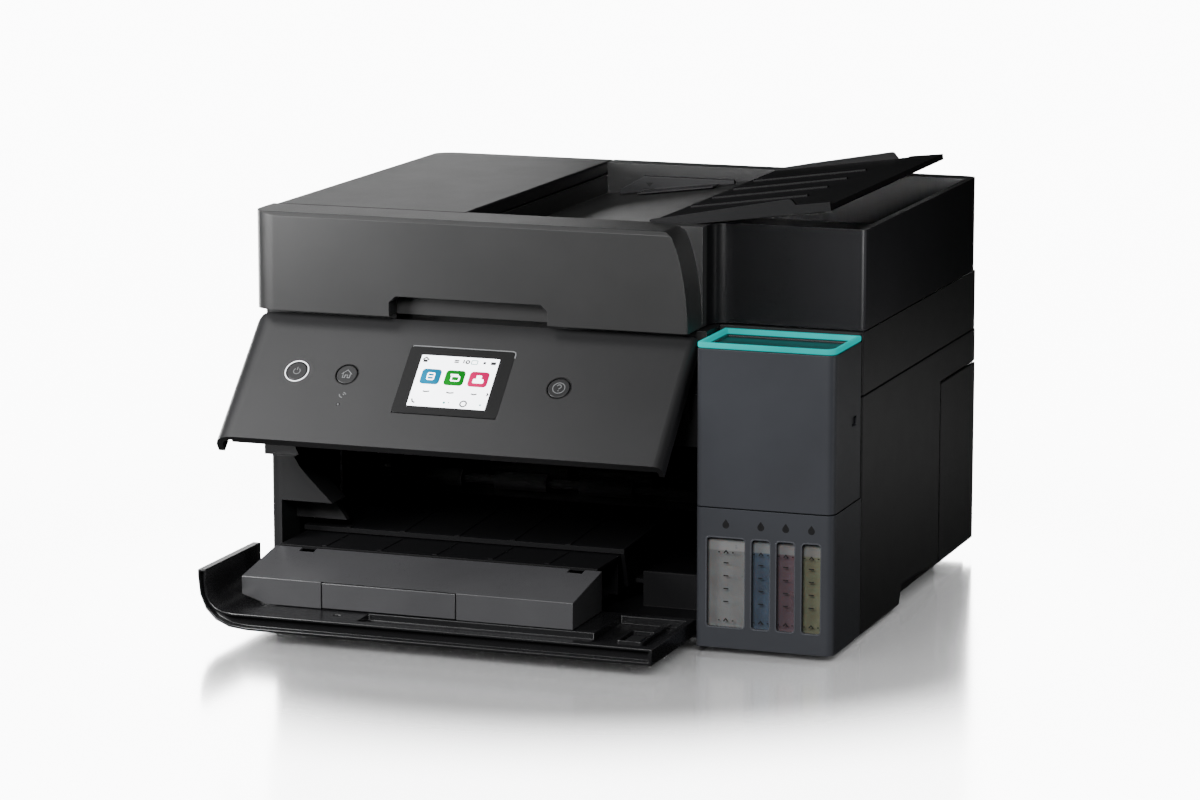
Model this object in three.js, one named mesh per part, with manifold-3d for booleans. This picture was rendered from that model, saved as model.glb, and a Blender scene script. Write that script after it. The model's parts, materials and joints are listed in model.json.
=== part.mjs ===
// All-in-one ink-tank inkjet printer with a document feeder, as separate named pieces.
// Millimetres, +Z up, the front faces -Y, the ink tanks are at the front right (+X).
// Pieces are laid out in the machine frame (x = 0 midway across the body, z = 0 on the table);
// the last lines move the whole machine so that its box is centred on the origin.
import * as THREE from "three";
import { mergeVertices } from "three/addons/utils/BufferGeometryUtils.js";
import Module from "manifold-3d";

const wasm = await Module();
wasm.setup();

// ---------------------------------------------------------------- driving dimensions
const RIGHT = 178.3; // the body's right side
const LEFT = -183; // and its left side
const REAR = 195.5; // the back of the body
const BLOCK_FRONT = -54; // front face of the right-hand block, behind the ink tanks
const FASCIA_FRONT = -96; // front of the lid above the control panel
const BODY_BOTTOM = 6; // underside of the body, on its feet
const BODY_TOP = 142.8; // seam between the body and the scanner unit
const SCANNER_TOP = 179.4; // seam between the scanner unit and the lid
const LID_TOP = 238;
const WALL = 3; // usual thickness of a moulded cover
const GAP = 0.4; // seam between two covers

const FRAME_FRONT = -80; // body front behind the control panel
const LOWER_FRONT = -86.5; // body front behind the flap
const FRAME_BACK = -60;
const BAY_LEFT = -165;
const BAY_RIGHT = 93;
const BAY_TOP = 112;
const FLARE = { right: -137, bottom: 64.4 }; // the bay's lower left corner is filled in

const TANK_LEFT = 96.7;
const TANK_FRONT = -109;
const TANK_BACK = -57;
const TANK_SPLIT = 84; // seam between the tank housing and its cover
const TANK_TOP = 175;
const RING_WALL = 2.6; // thickness of the light ring round the tank cover's top
const WINDOWS = [
  ["black", 103.6, 126.2],
  ["cyan", 130.2, 141.1],
  ["magenta", 145.0, 155.7],
  ["yellow", 160.0, 171.0],
];

const PANEL_PIVOT = { y: -90, z: 166 };
const PANEL_TILT = 45; // degrees from upright, as it stands for use
const PANEL_LEFT = -185;
const PANEL_RIGHT = 90;
const PANEL_ABOVE = 10; // panel height above its pivot
const PANEL_BELOW = 79.5; // and below it
const PANEL_FACE = 6; // outer face ahead of the pivot
const PANEL_RETURN = 9.4; // how far its left end turns back behind the pivot
const PANEL_CORNER = 10; // rounding of its top left corner
const BUTTON_ROW = -31; // height of the row of keys along the panel
const BUTTONS = [
  ["power_button", -145.3, 6.2],
  ["home_button", -113.8, 6.4],
  ["help_button", 17.0, 6.6],
];
const DISPLAY = { left: -79.4, right: -15.2, top: -7.6, bottom: -55.4 };

const FLAP_PIVOT = { y: -97, z: 8.5 };
const FLAP_LENGTH = 77.5;
const FLAP_LEFT = -183.6;
const FLAP_WALL = 5; // thickness of its turned-up left end
const FLAP_RIGHT = 93.5;
const FLAP_BOTTOM = 6;
const FLAP_THICK = 9.5;
const FLAP_WRAP = 34; // how far its left end turns up
const CORNER = 10; // rounding of the body's lower left corner, inside the closed flap
const ARMS = [-150, 18]; // left sides of the two arms that carry the flap
const ARM_WIDTH = 8;
const SHEET_LEFT = -168; // the width that the paper takes
const SHEET_RIGHT = 37;
const SHEET_TOP = 50; // and the height under which it passes into the bay
const SUPPORT_BACK = -64.5; // how deep the closed flap's paper support reaches into the bay

const OPENING_LEFT = -60; // document feeder opening in the lid's top
const FEEDER_FRONT = -60;
const FEEDER_BACK = 182;
const TRAY_PIVOT = { x: 51, z: 235.6 };
const TRAY_TILT = 8; // degrees, as it stands open
const TRAY_LENGTH = 110;
const WELL_FLOOR = 207;

const GEAR_MODULE = 1;

// ---------------------------------------------------------------- solids
function solid(geometry) {
  const bare = geometry.index ? geometry.toNonIndexed() : geometry.clone();
  for (const name of Object.keys(bare.attributes)) {
    if (name !== "position") bare.deleteAttribute(name);
  }
  const merged = mergeVertices(bare, 1e-4);
  return new wasm.Manifold(new wasm.Mesh({
    numProp: 3,
    vertProperties: new Float32Array(merged.attributes.position.array),
    triVerts: new Uint32Array(merged.index.array),
  }));
}

function block(x, y, z) {
  const g = new THREE.BoxGeometry(x[1] - x[0], y[1] - y[0], z[1] - z[0]);
  return solid(g.translate((x[0] + x[1]) / 2, (y[0] + y[1]) / 2, (z[0] + z[1]) / 2));
}

// An outline from corners [a, b] or [a, b, radius]; a radius rounds that corner.
function outline(corners) {
  const shape = new THREE.Shape();
  const count = corners.length;
  corners.forEach(([a, b, radius = 0], i) => {
    const here = new THREE.Vector2(a, b);
    const before = new THREE.Vector2(...corners[(i + count - 1) % count].slice(0, 2));
    const after = new THREE.Vector2(...corners[(i + 1) % count].slice(0, 2));
    const start = before.sub(here).setLength(radius).add(here);
    const end = after.sub(here).setLength(radius).add(here);
    if (i === 0) shape.moveTo(start.x, start.y);
    else shape.lineTo(start.x, start.y);
    if (radius > 0) shape.quadraticCurveTo(a, b, end.x, end.y);
  });
  shape.closePath();
  return shape;
}

function extrude(corners, depth, curveSegments = 5) {
  const shape = Array.isArray(corners) ? outline(corners) : corners;
  return new THREE.ExtrudeGeometry(shape, { depth, bevelEnabled: false, curveSegments });
}

const turnToX = new THREE.Matrix4().makeBasis(
  new THREE.Vector3(0, 1, 0), new THREE.Vector3(0, 0, 1), new THREE.Vector3(1, 0, 0));
const turnToY = new THREE.Matrix4().makeBasis(
  new THREE.Vector3(1, 0, 0), new THREE.Vector3(0, 0, 1), new THREE.Vector3(0, -1, 0));

// Prisms of an outline in (y, z), (x, z) or (x, y), between two planes.
function prismX(corners, x) {
  return solid(extrude(corners, x[1] - x[0]).applyMatrix4(turnToX).translate(x[0], 0, 0));
}
function prismY(corners, y) {
  return solid(extrude(corners, y[1] - y[0]).applyMatrix4(turnToY).translate(0, y[1], 0));
}
function prismZ(corners, z) {
  return solid(extrude(corners, z[1] - z[0]).translate(0, 0, z[0]));
}

// Round bars along each axis: (radius, [from, to], centre in the other two axes).
function bar(radius, span, segments) {
  return new THREE.CylinderGeometry(radius, radius, span[1] - span[0], segments);
}
function rodX(radius, x, y, z, segments = 20) {
  return solid(bar(radius, x, segments).rotateZ(Math.PI / 2).translate((x[0] + x[1]) / 2, y, z));
}
function rodY(radius, x, y, z, segments = 20) {
  return solid(bar(radius, y, segments).translate(x, (y[0] + y[1]) / 2, z));
}
function rodZ(radius, x, y, z, segments = 20) {
  return solid(bar(radius, z, segments).rotateX(Math.PI / 2).translate(x, y, (z[0] + z[1]) / 2));
}

// A toothed wheel about X: thin teeth, so that a pair runs with backlash.
function gearX(teeth, x, y, z, phase = 0) {
  const pitch = (teeth * GEAR_MODULE) / 2;
  const step = (2 * Math.PI) / teeth;
  const shape = new THREE.Shape();
  const point = (radius, angle) => [radius * Math.cos(angle), radius * Math.sin(angle)];
  for (let i = 0; i < teeth; i += 1) {
    const at = phase + i * step;
    const corners = [
      point(pitch - GEAR_MODULE, at - 0.26 * step), point(pitch + 0.55 * GEAR_MODULE, at - 0.1 * step),
      point(pitch + 0.55 * GEAR_MODULE, at + 0.1 * step), point(pitch - GEAR_MODULE, at + 0.26 * step),
    ];
    corners.forEach(([a, b], k) => (i + k === 0 ? shape.moveTo(a, b) : shape.lineTo(a, b)));
  }
  shape.closePath();
  const g = extrude(shape, x[1] - x[0], 1);
  return solid(g.applyMatrix4(turnToX).translate(x[0], y, z));
}

function join(...parts) {
  return parts.reduce((whole, part) => whole.add(part));
}
function cut(base, ...tools) {
  return tools.reduce((left, tool) => left.subtract(tool), base);
}

// ---------------------------------------------------------------- materials
function finish(color, roughness, metalness = 0, opacity = 1) {
  return new THREE.MeshStandardMaterial({
    color, roughness, metalness, opacity, transparent: opacity < 1,
  });
}
const looks = {
  housing: () => finish(0x2b2c2e, 0.55),
  cover: () => finish(0x303134, 0.5),
  panel: () => finish(0x343538, 0.45),
  tankCover: () => finish(0x45474b, 0.5),
  inner: () => finish(0x141415, 0.6),
  grey: () => finish(0x6d6f72, 0.55),
  key: () => finish(0x2a2b2d, 0.4),
  glow: () => finish(0x00d8ce, 0.3),
  clear: () => finish(0xb9c6cc, 0.1, 0, 0.4),
  screen: () => finish(0x0c0d10, 0.15),
  steel: () => finish(0x9fa3a6, 0.35, 0.9),
  rubber: () => finish(0x1b1b1c, 0.9),
  white: () => finish(0xe8e8e4, 0.7),
  board: () => finish(0x1c5a36, 0.5),
  ink: (color) => finish(color, 0.3, 0, 0.8),
};

const printer = new THREE.Group();

function part(name, body, material, home = printer) {
  const data = body.getMesh();
  const g = new THREE.BufferGeometry();
  g.setAttribute("position", new THREE.BufferAttribute(data.vertProperties, 3));
  g.setIndex(new THREE.BufferAttribute(data.triVerts, 1));
  const flat = g.toNonIndexed();
  flat.computeVertexNormals();
  const mesh = new THREE.Mesh(flat, material);
  mesh.name = name;
  home.add(mesh);
  return mesh;
}

// ---------------------------------------------------------------- body shells
function addBaseChassis() {
  const plan = [
    [LEFT + 5.5, -86, CORNER + 2], [BAY_RIGHT, -86], [BAY_RIGHT, -50.5], [174, -50.5],
    [174, 191], [LEFT + 5.5, 191],
  ];
  const floor = prismZ(plan, [BODY_BOTTOM, 9]);
  const wall = (x, y) => block(x, y, [8, 36]);
  const ribs = [-171, 49, 65].map((x) => block([x, x + 2.5], [-50, 185], [8, 14]));
  part("base_chassis", join(
    floor, wall([LEFT + 5.5, LEFT + 8], [-60, 191]), wall([171.5, 174], [-50.5, 191]),
    wall([LEFT + 5.5, 174], [188.5, 191]), block([45, 171.5], [-50.5, -48], [8, 30]), ...ribs,
  ), looks.inner());
}

function addFeet() {
  const places = {
    front_left: [-150, -70], front_right: [78, -70], rear_left: [-150, 172], rear_right: [150, 172],
  };
  for (const [where, [x, y]] of Object.entries(places)) {
    const profile = [[0, 0], [9, 0], [10, 1.2], [10, 5.7], [0, 5.7]];
    const g = new THREE.LatheGeometry(profile.map(([r, h]) => new THREE.Vector2(r, h)), 20);
    part("foot_" + where, solid(g.rotateX(Math.PI / 2).translate(x, y, 0)), looks.rubber());
  }
}

function addSideCovers() {
  const left = join(
    block([LEFT, LEFT + WALL], [-61.5, REAR], [9.4, BODY_TOP]),
    block([LEFT, LEFT + WALL], [FRAME_FRONT + 6, -60], [90, BODY_TOP]),
  );
  part("left_side_cover", left, looks.housing());

  const plan = [
    [96, BLOCK_FRONT], [RIGHT, BLOCK_FRONT, 3], [RIGHT, REAR], [RIGHT - WALL, REAR],
    [RIGHT - WALL, BLOCK_FRONT + WALL], [96, BLOCK_FRONT + WALL],
  ];
  const panelRecess = block([170, 180], [115, 200], [0, 122]);
  // The lower edge is a skirt ahead of the hand grip and rises behind it.
  const underside = prismX(
    [[28, 0], [34, 14], [70, 12.5], [93, 10], [200, 9.4], [200, 0]], [90, 180],
  );
  part("right_side_cover", cut(prismZ(plan, [2.6, BODY_TOP]), panelRecess, underside), looks.housing());
  part("right_rear_panel", block([175, RIGHT + 0.3], [115.5, 195], [9.4, 121.5]), looks.housing());
}

function addRearCover() {
  const sheet = block([LEFT + WALL + 0.4, 174.7], [192.3, REAR], [9.4, BODY_TOP]);
  const duplexHole = block([-110, 60], [190, 197], [44, 122]);
  const inletHole = block([-158.5, -131.5], [190, 197], [59.5, 82.5]);
  const boxHole = block([99.5, 150.5], [190, 197], [39.5, 78.5]);
  const vents = [];
  for (let i = 0; i < 9; i += 1) vents.push(block([76 + 9 * i, 80 + 9 * i], [190, 197], [96, 124]));
  part("rear_cover", cut(sheet, duplexHole, inletHole, boxHole, ...vents), looks.housing());
}

function addDuplexUnit() {
  const shell = block([-109.5, 59.5], [160, REAR], [44.5, 121.5]);
  const turn = block([-104, 54], [155, 190], [52, 114]);
  const grips = [-92, 32].map((x) => block([x, x + 14], [191.5, 197], [60, 104]));
  part("duplex_unit", cut(shell, turn, ...grips), looks.inner());
}

function addFrontFrame() {
  const upper = [
    [LEFT, 90], [94.5, 90], [94.5, BODY_TOP], [LEFT, BODY_TOP],
  ];
  const lower = [
    [LEFT + 4.9, LOWER_FRONT, CORNER], [94.5, LOWER_FRONT], [94.5, FRAME_BACK], [LEFT + 4.9, FRAME_BACK],
  ];
  const bay = (bottom) => [
    [BAY_LEFT, 92, 16], [BAY_LEFT, BAY_TOP, 4], [BAY_RIGHT - 1.5, BAY_TOP, 4], [BAY_RIGHT - 1.5, 0],
    [SHEET_LEFT - 1.5, 0], [SHEET_LEFT - 1.5, bottom], [FLARE.right, bottom],
  ];
  // The closed flap's paper support stands in the bay's front part, under the filled corner.
  const bayCuts = [
    prismY(bay(FLARE.bottom), [-100, SUPPORT_BACK]), prismY(bay(SHEET_TOP), [SUPPORT_BACK - 1, -50]),
  ];
  const frame = join(
    prismY(upper, [FRAME_FRONT, FRAME_BACK]), prismZ(lower, [9.5, 91]),
  );
  const behindCover = join(
    block([LEFT - 1, LEFT + WALL + 0.4], [FRAME_FRONT + 5.5, -50], [0, 150]),
    block([LEFT - 1, LEFT + 8.3], [-62, -50], [0, 92]),
  );
  const lugOutline = [
    [-79.2, 128], [-79.6, 156], [-88.6, 168], [-92.2, 166, 0.8], [-90, 162], [-84, 128],
  ];
  const lug = prismX(lugOutline, [0, 3]);
  const lugs = [-164, 82].map((x) => lug.translate(x, 0, 0));
  const toes = block([LEFT - 1, 95], [-100, -50], [0, 9.4]);
  part("front_frame", join(cut(frame, ...bayCuts, behindCover, toes), ...lugs), looks.housing());
}

function addOutputDeck() {
  const front = -59.5;
  const back = 40;
  const right = SHEET_RIGHT - 0.5;
  const plate = prismX([[front, 41], [back, 46], [back, 49], [front, 44]], [SHEET_LEFT + 1, right]);
  const skirt = prismX([[front, 42], [front + 8, 20], [back, 20], [back, 47]], [right - 2.5, right]);
  const ribs = [-140, -105, -70, -35, 0].map((x) => (
    prismX([[front, 43], [back, 48], [back, 49.6], [front, 44.6]], [x, x + 3])
  ));
  const ear = block([SHEET_RIGHT - 3, BAY_RIGHT - 2], [front + 20, back], [20, 22.5]);
  part("output_deck", join(plate, skirt, ear, ...ribs), looks.inner());
}

// ---------------------------------------------------------------- cassette and flap
const cassette = new THREE.Group();

function addCassette() {
  const x = [SHEET_LEFT + 2, SHEET_RIGHT - 5];
  const outer = block(x, [FRAME_BACK + 2, 186], [16, 37]);
  const inner = block([x[0] + 2.5, x[1] - 2.5], [FRAME_BACK + 5, 183], [18.5, 50]);
  const arms = ARMS.flatMap((from) => [
    block([from, from + ARM_WIDTH], [-99, FRAME_BACK + 4], [10.2, 15.2]),
    block([from, from + ARM_WIDTH], [FRAME_BACK + 2, FRAME_BACK + 4.5], [10.2, 17]),
  ]);
  const grip = block([-100, -32], [FRAME_BACK, FRAME_BACK + 8], [30, 40]);
  const tub = cut(join(outer, ...arms), inner, grip);
  part("cassette_tub", tub, looks.inner(), cassette);
  const guide = (side) => join(
    block([-3, 3], [10, 70], [19, 21]), block([side > 0 ? 1 : -3, side > 0 ? 3 : -1], [10, 70], [19, 34]),
  );
  const middle = (x[0] + x[1]) / 2;
  part("cassette_guide_left", guide(1), looks.grey(), cassette).position.x = middle - 88;
  part("cassette_guide_right", guide(-1), looks.grey(), cassette).position.x = middle + 88;
}

function addFlap() {
  const top = FLAP_BOTTOM + FLAP_THICK;
  const front = FLAP_PIVOT.y - FLAP_LENGTH;
  const outer = [
    [FLAP_LEFT, FLAP_BOTTOM + FLAP_WRAP], [FLAP_LEFT, FLAP_BOTTOM, 30], [FLAP_RIGHT, FLAP_BOTTOM],
    [FLAP_RIGHT, top], [FLAP_LEFT + FLAP_WALL, top, 16], [FLAP_LEFT + FLAP_WALL, FLAP_BOTTOM + FLAP_WRAP],
  ];
  const shell = prismY(outer, [front, FLAP_PIVOT.y]);
  // A groove round the front edge, between the outer and the inner wall.
  const groove = prismY([
    [FLAP_LEFT + 1.5, FLAP_BOTTOM + FLAP_WRAP - 1.6], [FLAP_LEFT + 1.5, FLAP_BOTTOM + 1.8, 28],
    [FLAP_RIGHT - 2, FLAP_BOTTOM + 1.8], [FLAP_RIGHT - 2, top - 1.6],
    [FLAP_LEFT + 3.8, top - 1.6, 17], [FLAP_LEFT + 3.8, FLAP_BOTTOM + FLAP_WRAP - 1.6],
  ], [front - 1, front + 4]);
  const pocket = block([50, FLAP_RIGHT - 4], [front + 6, FLAP_PIVOT.y - 6], [top - 5, top + 1]);
  const armSlots = ARMS.map((x) => block([x - 0.6, x + ARM_WIDTH + 0.6], [-104.6, -90], [0, 45]));
  const slot = block([-106, -102], [front + 14, front + 18], [top - 3, top + 1]);
  const step = block([-88, FLAP_RIGHT - 4], [front + 7, front + 26], [top - 4, top + 1]);
  part("front_flap", cut(shell, groove, pocket, slot, step, ...armSlots), looks.housing(), cassette);

  // The paper support that stands on the open flap: a wedge with a three-part front.
  const low = top + 0.4;
  const wedge = [[-148, low], [-148, 31.5], [-99, 39.5], [-99, low]];
  const hollow = [[-145, low - 1], [-145, 29], [-102, 36], [-102, low - 1]];
  const corner = prismY([[-170, 15], [-151, 15], [-152, 15.7], [-168.5, 21], [-170, 22]], [-150, -90]);
  const opening = block([-118, -34], [-149, -140], [0, 31.6]);
  const support = cut(
    prismX(wedge, [SHEET_LEFT, SHEET_RIGHT]), prismX(hollow, [SHEET_LEFT + 2.5, SHEET_RIGHT - 2.5]),
    corner, opening, ...armSlots,
  );
  part("output_support", support, looks.panel(), cassette);
  const tongue = block([-112.9, -39.1], [-147.8, -104], [20, 22.5]);
  const lip = block([-117.3, -34.7], [-148, -145.5], [low + 0.3, 31.1]);
  part("output_extension", join(tongue, lip), looks.cover(), cassette);
}

// The part of the output tray between the deck and the flap: it slides in under the deck.
function addSlidingTray() {
  const x = [SHEET_LEFT + 2, SHEET_RIGHT - 3.4];
  const plate = block(x, [-97.5, -57], [38.2, 40.2]);
  const ribs = [-140, -105, -70, -35, 0].map((at) => block([at, at + 3], [-95, -62], [40, 40.7]));
  part("sliding_tray", join(plate, ...ribs), looks.inner());
}

// ---------------------------------------------------------------- print engine
function addEngine() {
  const sheet = [
    [92, 84], [92, 132.5], [112, 132.5], [112, 134], [90.5, 134], [90.5, 85.5], [80, 85.5], [80, 84],
  ];
  const legs = [-169, 167.5].map((x) => block([x, x + 1.5], [0, 112], [38, 134]));
  part("engine_frame", join(prismX(sheet, [-169, 169]), ...legs), looks.steel());

  part("print_platen", cut(
    block([-150, 96], [29, 53], [50, 57]),
    ...[-120, -80, -40, 0, 40].map((x) => block([x, x + 20], [35, 47], [54, 58])),
  ), looks.inner());
  addRoller("feed_roller", 60, 62, 6, 24, 0);
  addRoller("exit_roller", 22, 62, 5.4, 24, 0);
  const idler = join(
    gearX(14, [-161.5, -156], 41, 62, Math.PI / 14), rodX(2.2, [-164.5, -153], 41, 62, 12),
  );
  part("idler_gear", idler, looks.white());

  const shell = cut(
    block([112, 160], [32, 88.5], [74, 124]), block([115, 157], [35, 78], [80, 130]),
    block([100, 170], [79, 90.2], [82.5, 87]),
  );
  const head = block([117, 155], [38, 74], [68.6, 75]);
  part("print_carriage", join(shell, head), looks.inner());

  const loop = (grow) => {
    const shape = new THREE.Shape();
    shape.absarc(150, 112, 6.4 + grow, -Math.PI / 2, Math.PI / 2, false);
    shape.absarc(-150, 112, 6.4 + grow, Math.PI / 2, 1.5 * Math.PI, false);
    shape.closePath();
    return shape;
  };
  part("carriage_belt", cut(prismY(loop(1.4), [96, 102]), prismY(loop(0), [95, 103])), looks.rubber());
  const pulley = join(rodY(6, 150, [95.5, 102.5], 112, 16), rodY(2, 150, [95, 106], 112, 12));
  part("belt_pulley", pulley, looks.steel());
  const motor = cut(rodY(15, 150, [106.6, 138], 112, 24), rodY(2.5, 150, [106, 110], 112, 12));
  part("carriage_motor", motor, looks.steel());
  part("feed_motor", rodX(14, [-150, -122], 128, 60, 24), looks.steel());
  part("capping_station", cut(
    block([108, 162], [32, 78], [42, 66.5]), block([119, 153], [40, 72], [62, 70]),
  ), looks.grey());
}

function addRoller(name, y, z, radius, teeth, phase) {
  const sleeves = [-130, -75, -20, 35].map((x) => rodX(radius, [x, x + 34], y, z, 16));
  const shaft = rodX(3, [-165.5, 102], y, z, 12);
  const wheel = gearX(teeth, [-161.5, -156], y, z, phase);
  part(name, join(shaft, wheel, ...sleeves), looks.rubber());
}

function addElectronics() {
  const board = cut(
    block([-166, -164.4], [116, 186], [44, 124]), ...[[120, 48], [182, 48], [120, 120], [182, 120]]
      .map(([y, z]) => rodX(1.6, [-170, -160], y, z, 10)),
  );
  const chips = [[130, 70], [150, 96], [168, 60]].map(([y, z]) => (
    block([-165, -161.5], [y, y + 14], [z, z + 14])
  ));
  part("mainboard", join(board, ...chips), looks.board());
  part("power_supply", cut(
    block([-158, -113], [146, 164], [42, 118]), block([-154, -117], [142, 148], [46, 114]),
  ), looks.steel());
  part("ac_inlet", cut(
    block([-158, -132], [168, REAR], [60, 82]), block([-154, -136], [178, 197], [63.5, 78.5]),
    block([-160, -155], [165, 168.5], [60, 82]),
  ), looks.inner());
  const pad = cut(block([100, 150], [120, REAR], [40, 78]), block([108, 142], [190, 197], [62, 72]));
  part("maintenance_box", pad, looks.grey());
}

// ---------------------------------------------------------------- ink tanks
function addTankUnit() {
  const plan = (inset, back) => [
    [TANK_LEFT + inset, TANK_FRONT + inset, 4], [RIGHT - inset, TANK_FRONT + inset, 6],
    [RIGHT - inset, back], [TANK_LEFT + inset, back],
  ];
  const housing = cut(
    prismZ(plan(0, TANK_BACK + 2.6), [3, TANK_SPLIT - 0.3]), prismZ(plan(WALL, TANK_BACK), [6, 90]),
    ...WINDOWS.map(([, from, to]) => prismY(
      [[from, 15, 2], [to, 15, 2], [to, 67, 2], [from, 67, 2]], [TANK_FRONT - 1, TANK_FRONT + 5],
    )),
  );
  part("tank_housing", housing, looks.tankCover());

  const inks = { black: 0x4a4c50, cyan: 0x3d5f9c, magenta: 0x9b4a66, yellow: 0xa9a648 };
  WINDOWS.forEach(([ink, from, to]) => {
    const x = [from - 1.3, to + 1.3];
    const middle = (from + to) / 2;
    const outer = block(x, [-105.4, -63], [8, 112]);
    const inner = block([x[0] + 1.2, x[1] - 1.2], [-104.2, -64.2], [9.5, 110]);
    const neck = rodZ(3, middle, -90, [108, 114], 12);
    part("ink_tank_" + ink, cut(outer, inner, neck), looks.ink(inks[ink]));

    const half = Math.min(6, (to - from) / 2);
    const cap = join(
      block([middle - half, middle + half], [-98, -66], [113, 116]),
      rodZ(half - 0.5, middle, -90, [115, 121], 16),
    );
    part("tank_cap_" + ink, cap, looks.key());
  });

  const shell = prismZ(plan(0, TANK_BACK), [TANK_SPLIT + 0.3, TANK_TOP]);
  const inside = prismZ(plan(2.6, TANK_BACK + 5), [80, TANK_TOP - 4]);
  const grip = block([RIGHT - 1.4, 182], [-74, -66], [129, 134]);
  const topRecess = prismZ(plan(RING_WALL + 0.6, TANK_BACK - RING_WALL - 0.6), [TANK_TOP - 1, 180]);
  part("tank_cover", cut(shell, inside, grip, topRecess), looks.tankCover());
  part("tank_light_ring", cut(
    prismZ(plan(0, TANK_BACK), [TANK_TOP + 0.3, TANK_TOP + 3.5]),
    prismZ(plan(RING_WALL, TANK_BACK - RING_WALL), [170, 180]),
  ), looks.glow());
}

// ---------------------------------------------------------------- scanner and lid
function addScanner() {
  const z = [BODY_TOP + GAP, SCANNER_TOP];
  const plan = [
    [LEFT, -78.5, 6], [93, -78.5], [93, BLOCK_FRONT], [RIGHT, BLOCK_FRONT, 3],
    [RIGHT, REAR, 3], [LEFT, REAR, 3],
  ];
  const hollow = block([-170, 165], [-46, 189], [z[0] + 2.5, SCANNER_TOP - 3]);
  const window = block([-155, 140], [-34, 184], [160, 190]);
  const seat = block([-160, 145], [-36, 186], [SCANNER_TOP - 2.3, 190]);
  const notch = block([-98, 6], [-80, -70], [SCANNER_TOP - 6, 190]);
  const rail = block([-168, 163], [70, 76], [z[0] + 2, z[0] + 6]);
  part("scanner_base", join(cut(prismZ(plan, z), hollow, window, seat, notch), rail), looks.housing());
  const glass = block([-159.6, 144.6], [-35.6, 185.6], [SCANNER_TOP - 2, SCANNER_TOP - 0.1]);
  part("platen_glass", glass, looks.clear());
  part("scan_carriage", cut(
    block([-150, -130], [-32, 182], [152, 174]), block([-152, -128], [69.5, 76.5], [140, 153]),
    block([-145, -135], [-28, 178], [164, 180]),
  ), looks.inner());
}

const WELL_FRONT = BLOCK_FRONT + 5;

function addLid() {
  const z = [SCANNER_TOP + 0.6, LID_TOP];
  const plan = [
    [LEFT, FASCIA_FRONT, 15], [87.4, FASCIA_FRONT, 2], [87.4, BLOCK_FRONT + 4, 13],
    [RIGHT, BLOCK_FRONT + 4, 3],
    [RIGHT, REAR, 8], [LEFT, REAR, 18],
  ];
  // The fascia's top right corner is rounded off in the front view.
  const end = [
    [66, 238.6], [74, 237.6], [77.5, 235], [79.6, 230], [81.6, 224], [83.4, 217], [84.9, 209],
    [86.1, 200], [86.9, 190], [87.5, 179],
  ];
  const shoulder = prismY([[66, 242], ...end, [95, 179], [95, 242]], [FASCIA_FRONT - 1, -70]);
  const notch = prismY([
    [-95.5, 170], [2.3, 170], [2.3, 188.4, 0], [-1.6, 192, 0], [-91.6, 192, 0], [-95.5, 188.4, 0],
  ], [FASCIA_FRONT - 1, -84]);
  const frontEdge = prismX([
    [FASCIA_FRONT - 1, 234.5], [FASCIA_FRONT - 1, 240], [FASCIA_FRONT + 3.5, 240],
  ], [-200, 90]);
  const coverRecess = block([LEFT - 1, OPENING_LEFT - 0.5], [FEEDER_FRONT - 2, 200], [229.6, 240]);
  const trough = block([-170, OPENING_LEFT - 3], [-56, 178], [212, 240]);
  const well = join(
    block([OPENING_LEFT + 5, 83], [FEEDER_FRONT, FEEDER_BACK], [WELL_FLOOR, 240]),
    block([OPENING_LEFT - 0.5, 83], [FEEDER_FRONT, FEEDER_BACK], [218, 240]),
    block([80, RIGHT - 4], [WELL_FRONT, FEEDER_BACK], [WELL_FLOOR, 240]),
  );
  const slope = prismY([
    [OPENING_LEFT - 4, 214.6], [TRAY_PIVOT.x - 3.5, 229.2], [TRAY_PIVOT.x - 3.5, 231.8],
    [OPENING_LEFT - 4, 217.2],
  ], [FEEDER_FRONT - 1, FEEDER_BACK + 1]);
  const hollow = join(
    block([-172, 84], [-82, 189], [z[0] + 3, 209]).subtract(block([70, 90], [-90, -40], [170, 215])),
    block([60, 172], [-44, 189], [z[0] + 3, WELL_FLOOR - 3]),
  ).subtract(block([OPENING_LEFT - 5, 180], [-70, 195], [WELL_FLOOR - 3, 215]));
  const padHole = block([-158.5, 143.5], [-34.5, 182.5], [170, 190]);
  const shell = cut(prismZ(plan, z), shoulder, notch, frontEdge, coverRecess, trough, well, hollow, padHole);
  part("lid_body", join(shell, slope), looks.housing());
  part("lid_pad", block([-158, 143], [-34, 182], [SCANNER_TOP + 0.3, SCANNER_TOP + 3]), looks.white());

  const coverPlan = [
    [LEFT, FEEDER_FRONT - 1.5], [OPENING_LEFT - 1, FEEDER_FRONT - 1.5], [OPENING_LEFT - 1, REAR],
    [LEFT, REAR, 18],
  ];
  const coverEdge = prismY([[LEFT - 1.7, 234.5], [LEFT + 3.3, 239], [LEFT - 1.7, 239]], [-100, 200]);
  const ribs = cut(
    block([-160, -72], [-50, 172], [224, 232]), block([-157, -75], [-47, 169], [220, 232]),
  );
  part("adf_cover", join(cut(prismZ(coverPlan, [230, LID_TOP]), coverEdge), ribs), looks.cover());
  const sleeves = [0, 60, 110].map((y) => rodY(6, -112, [y, y + 26], 220, 18));
  const feed = join(rodY(2.2, -112, [-54, 176], 220, 12), ...sleeves);
  part("adf_feed_roller", feed, looks.rubber());
}

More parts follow.
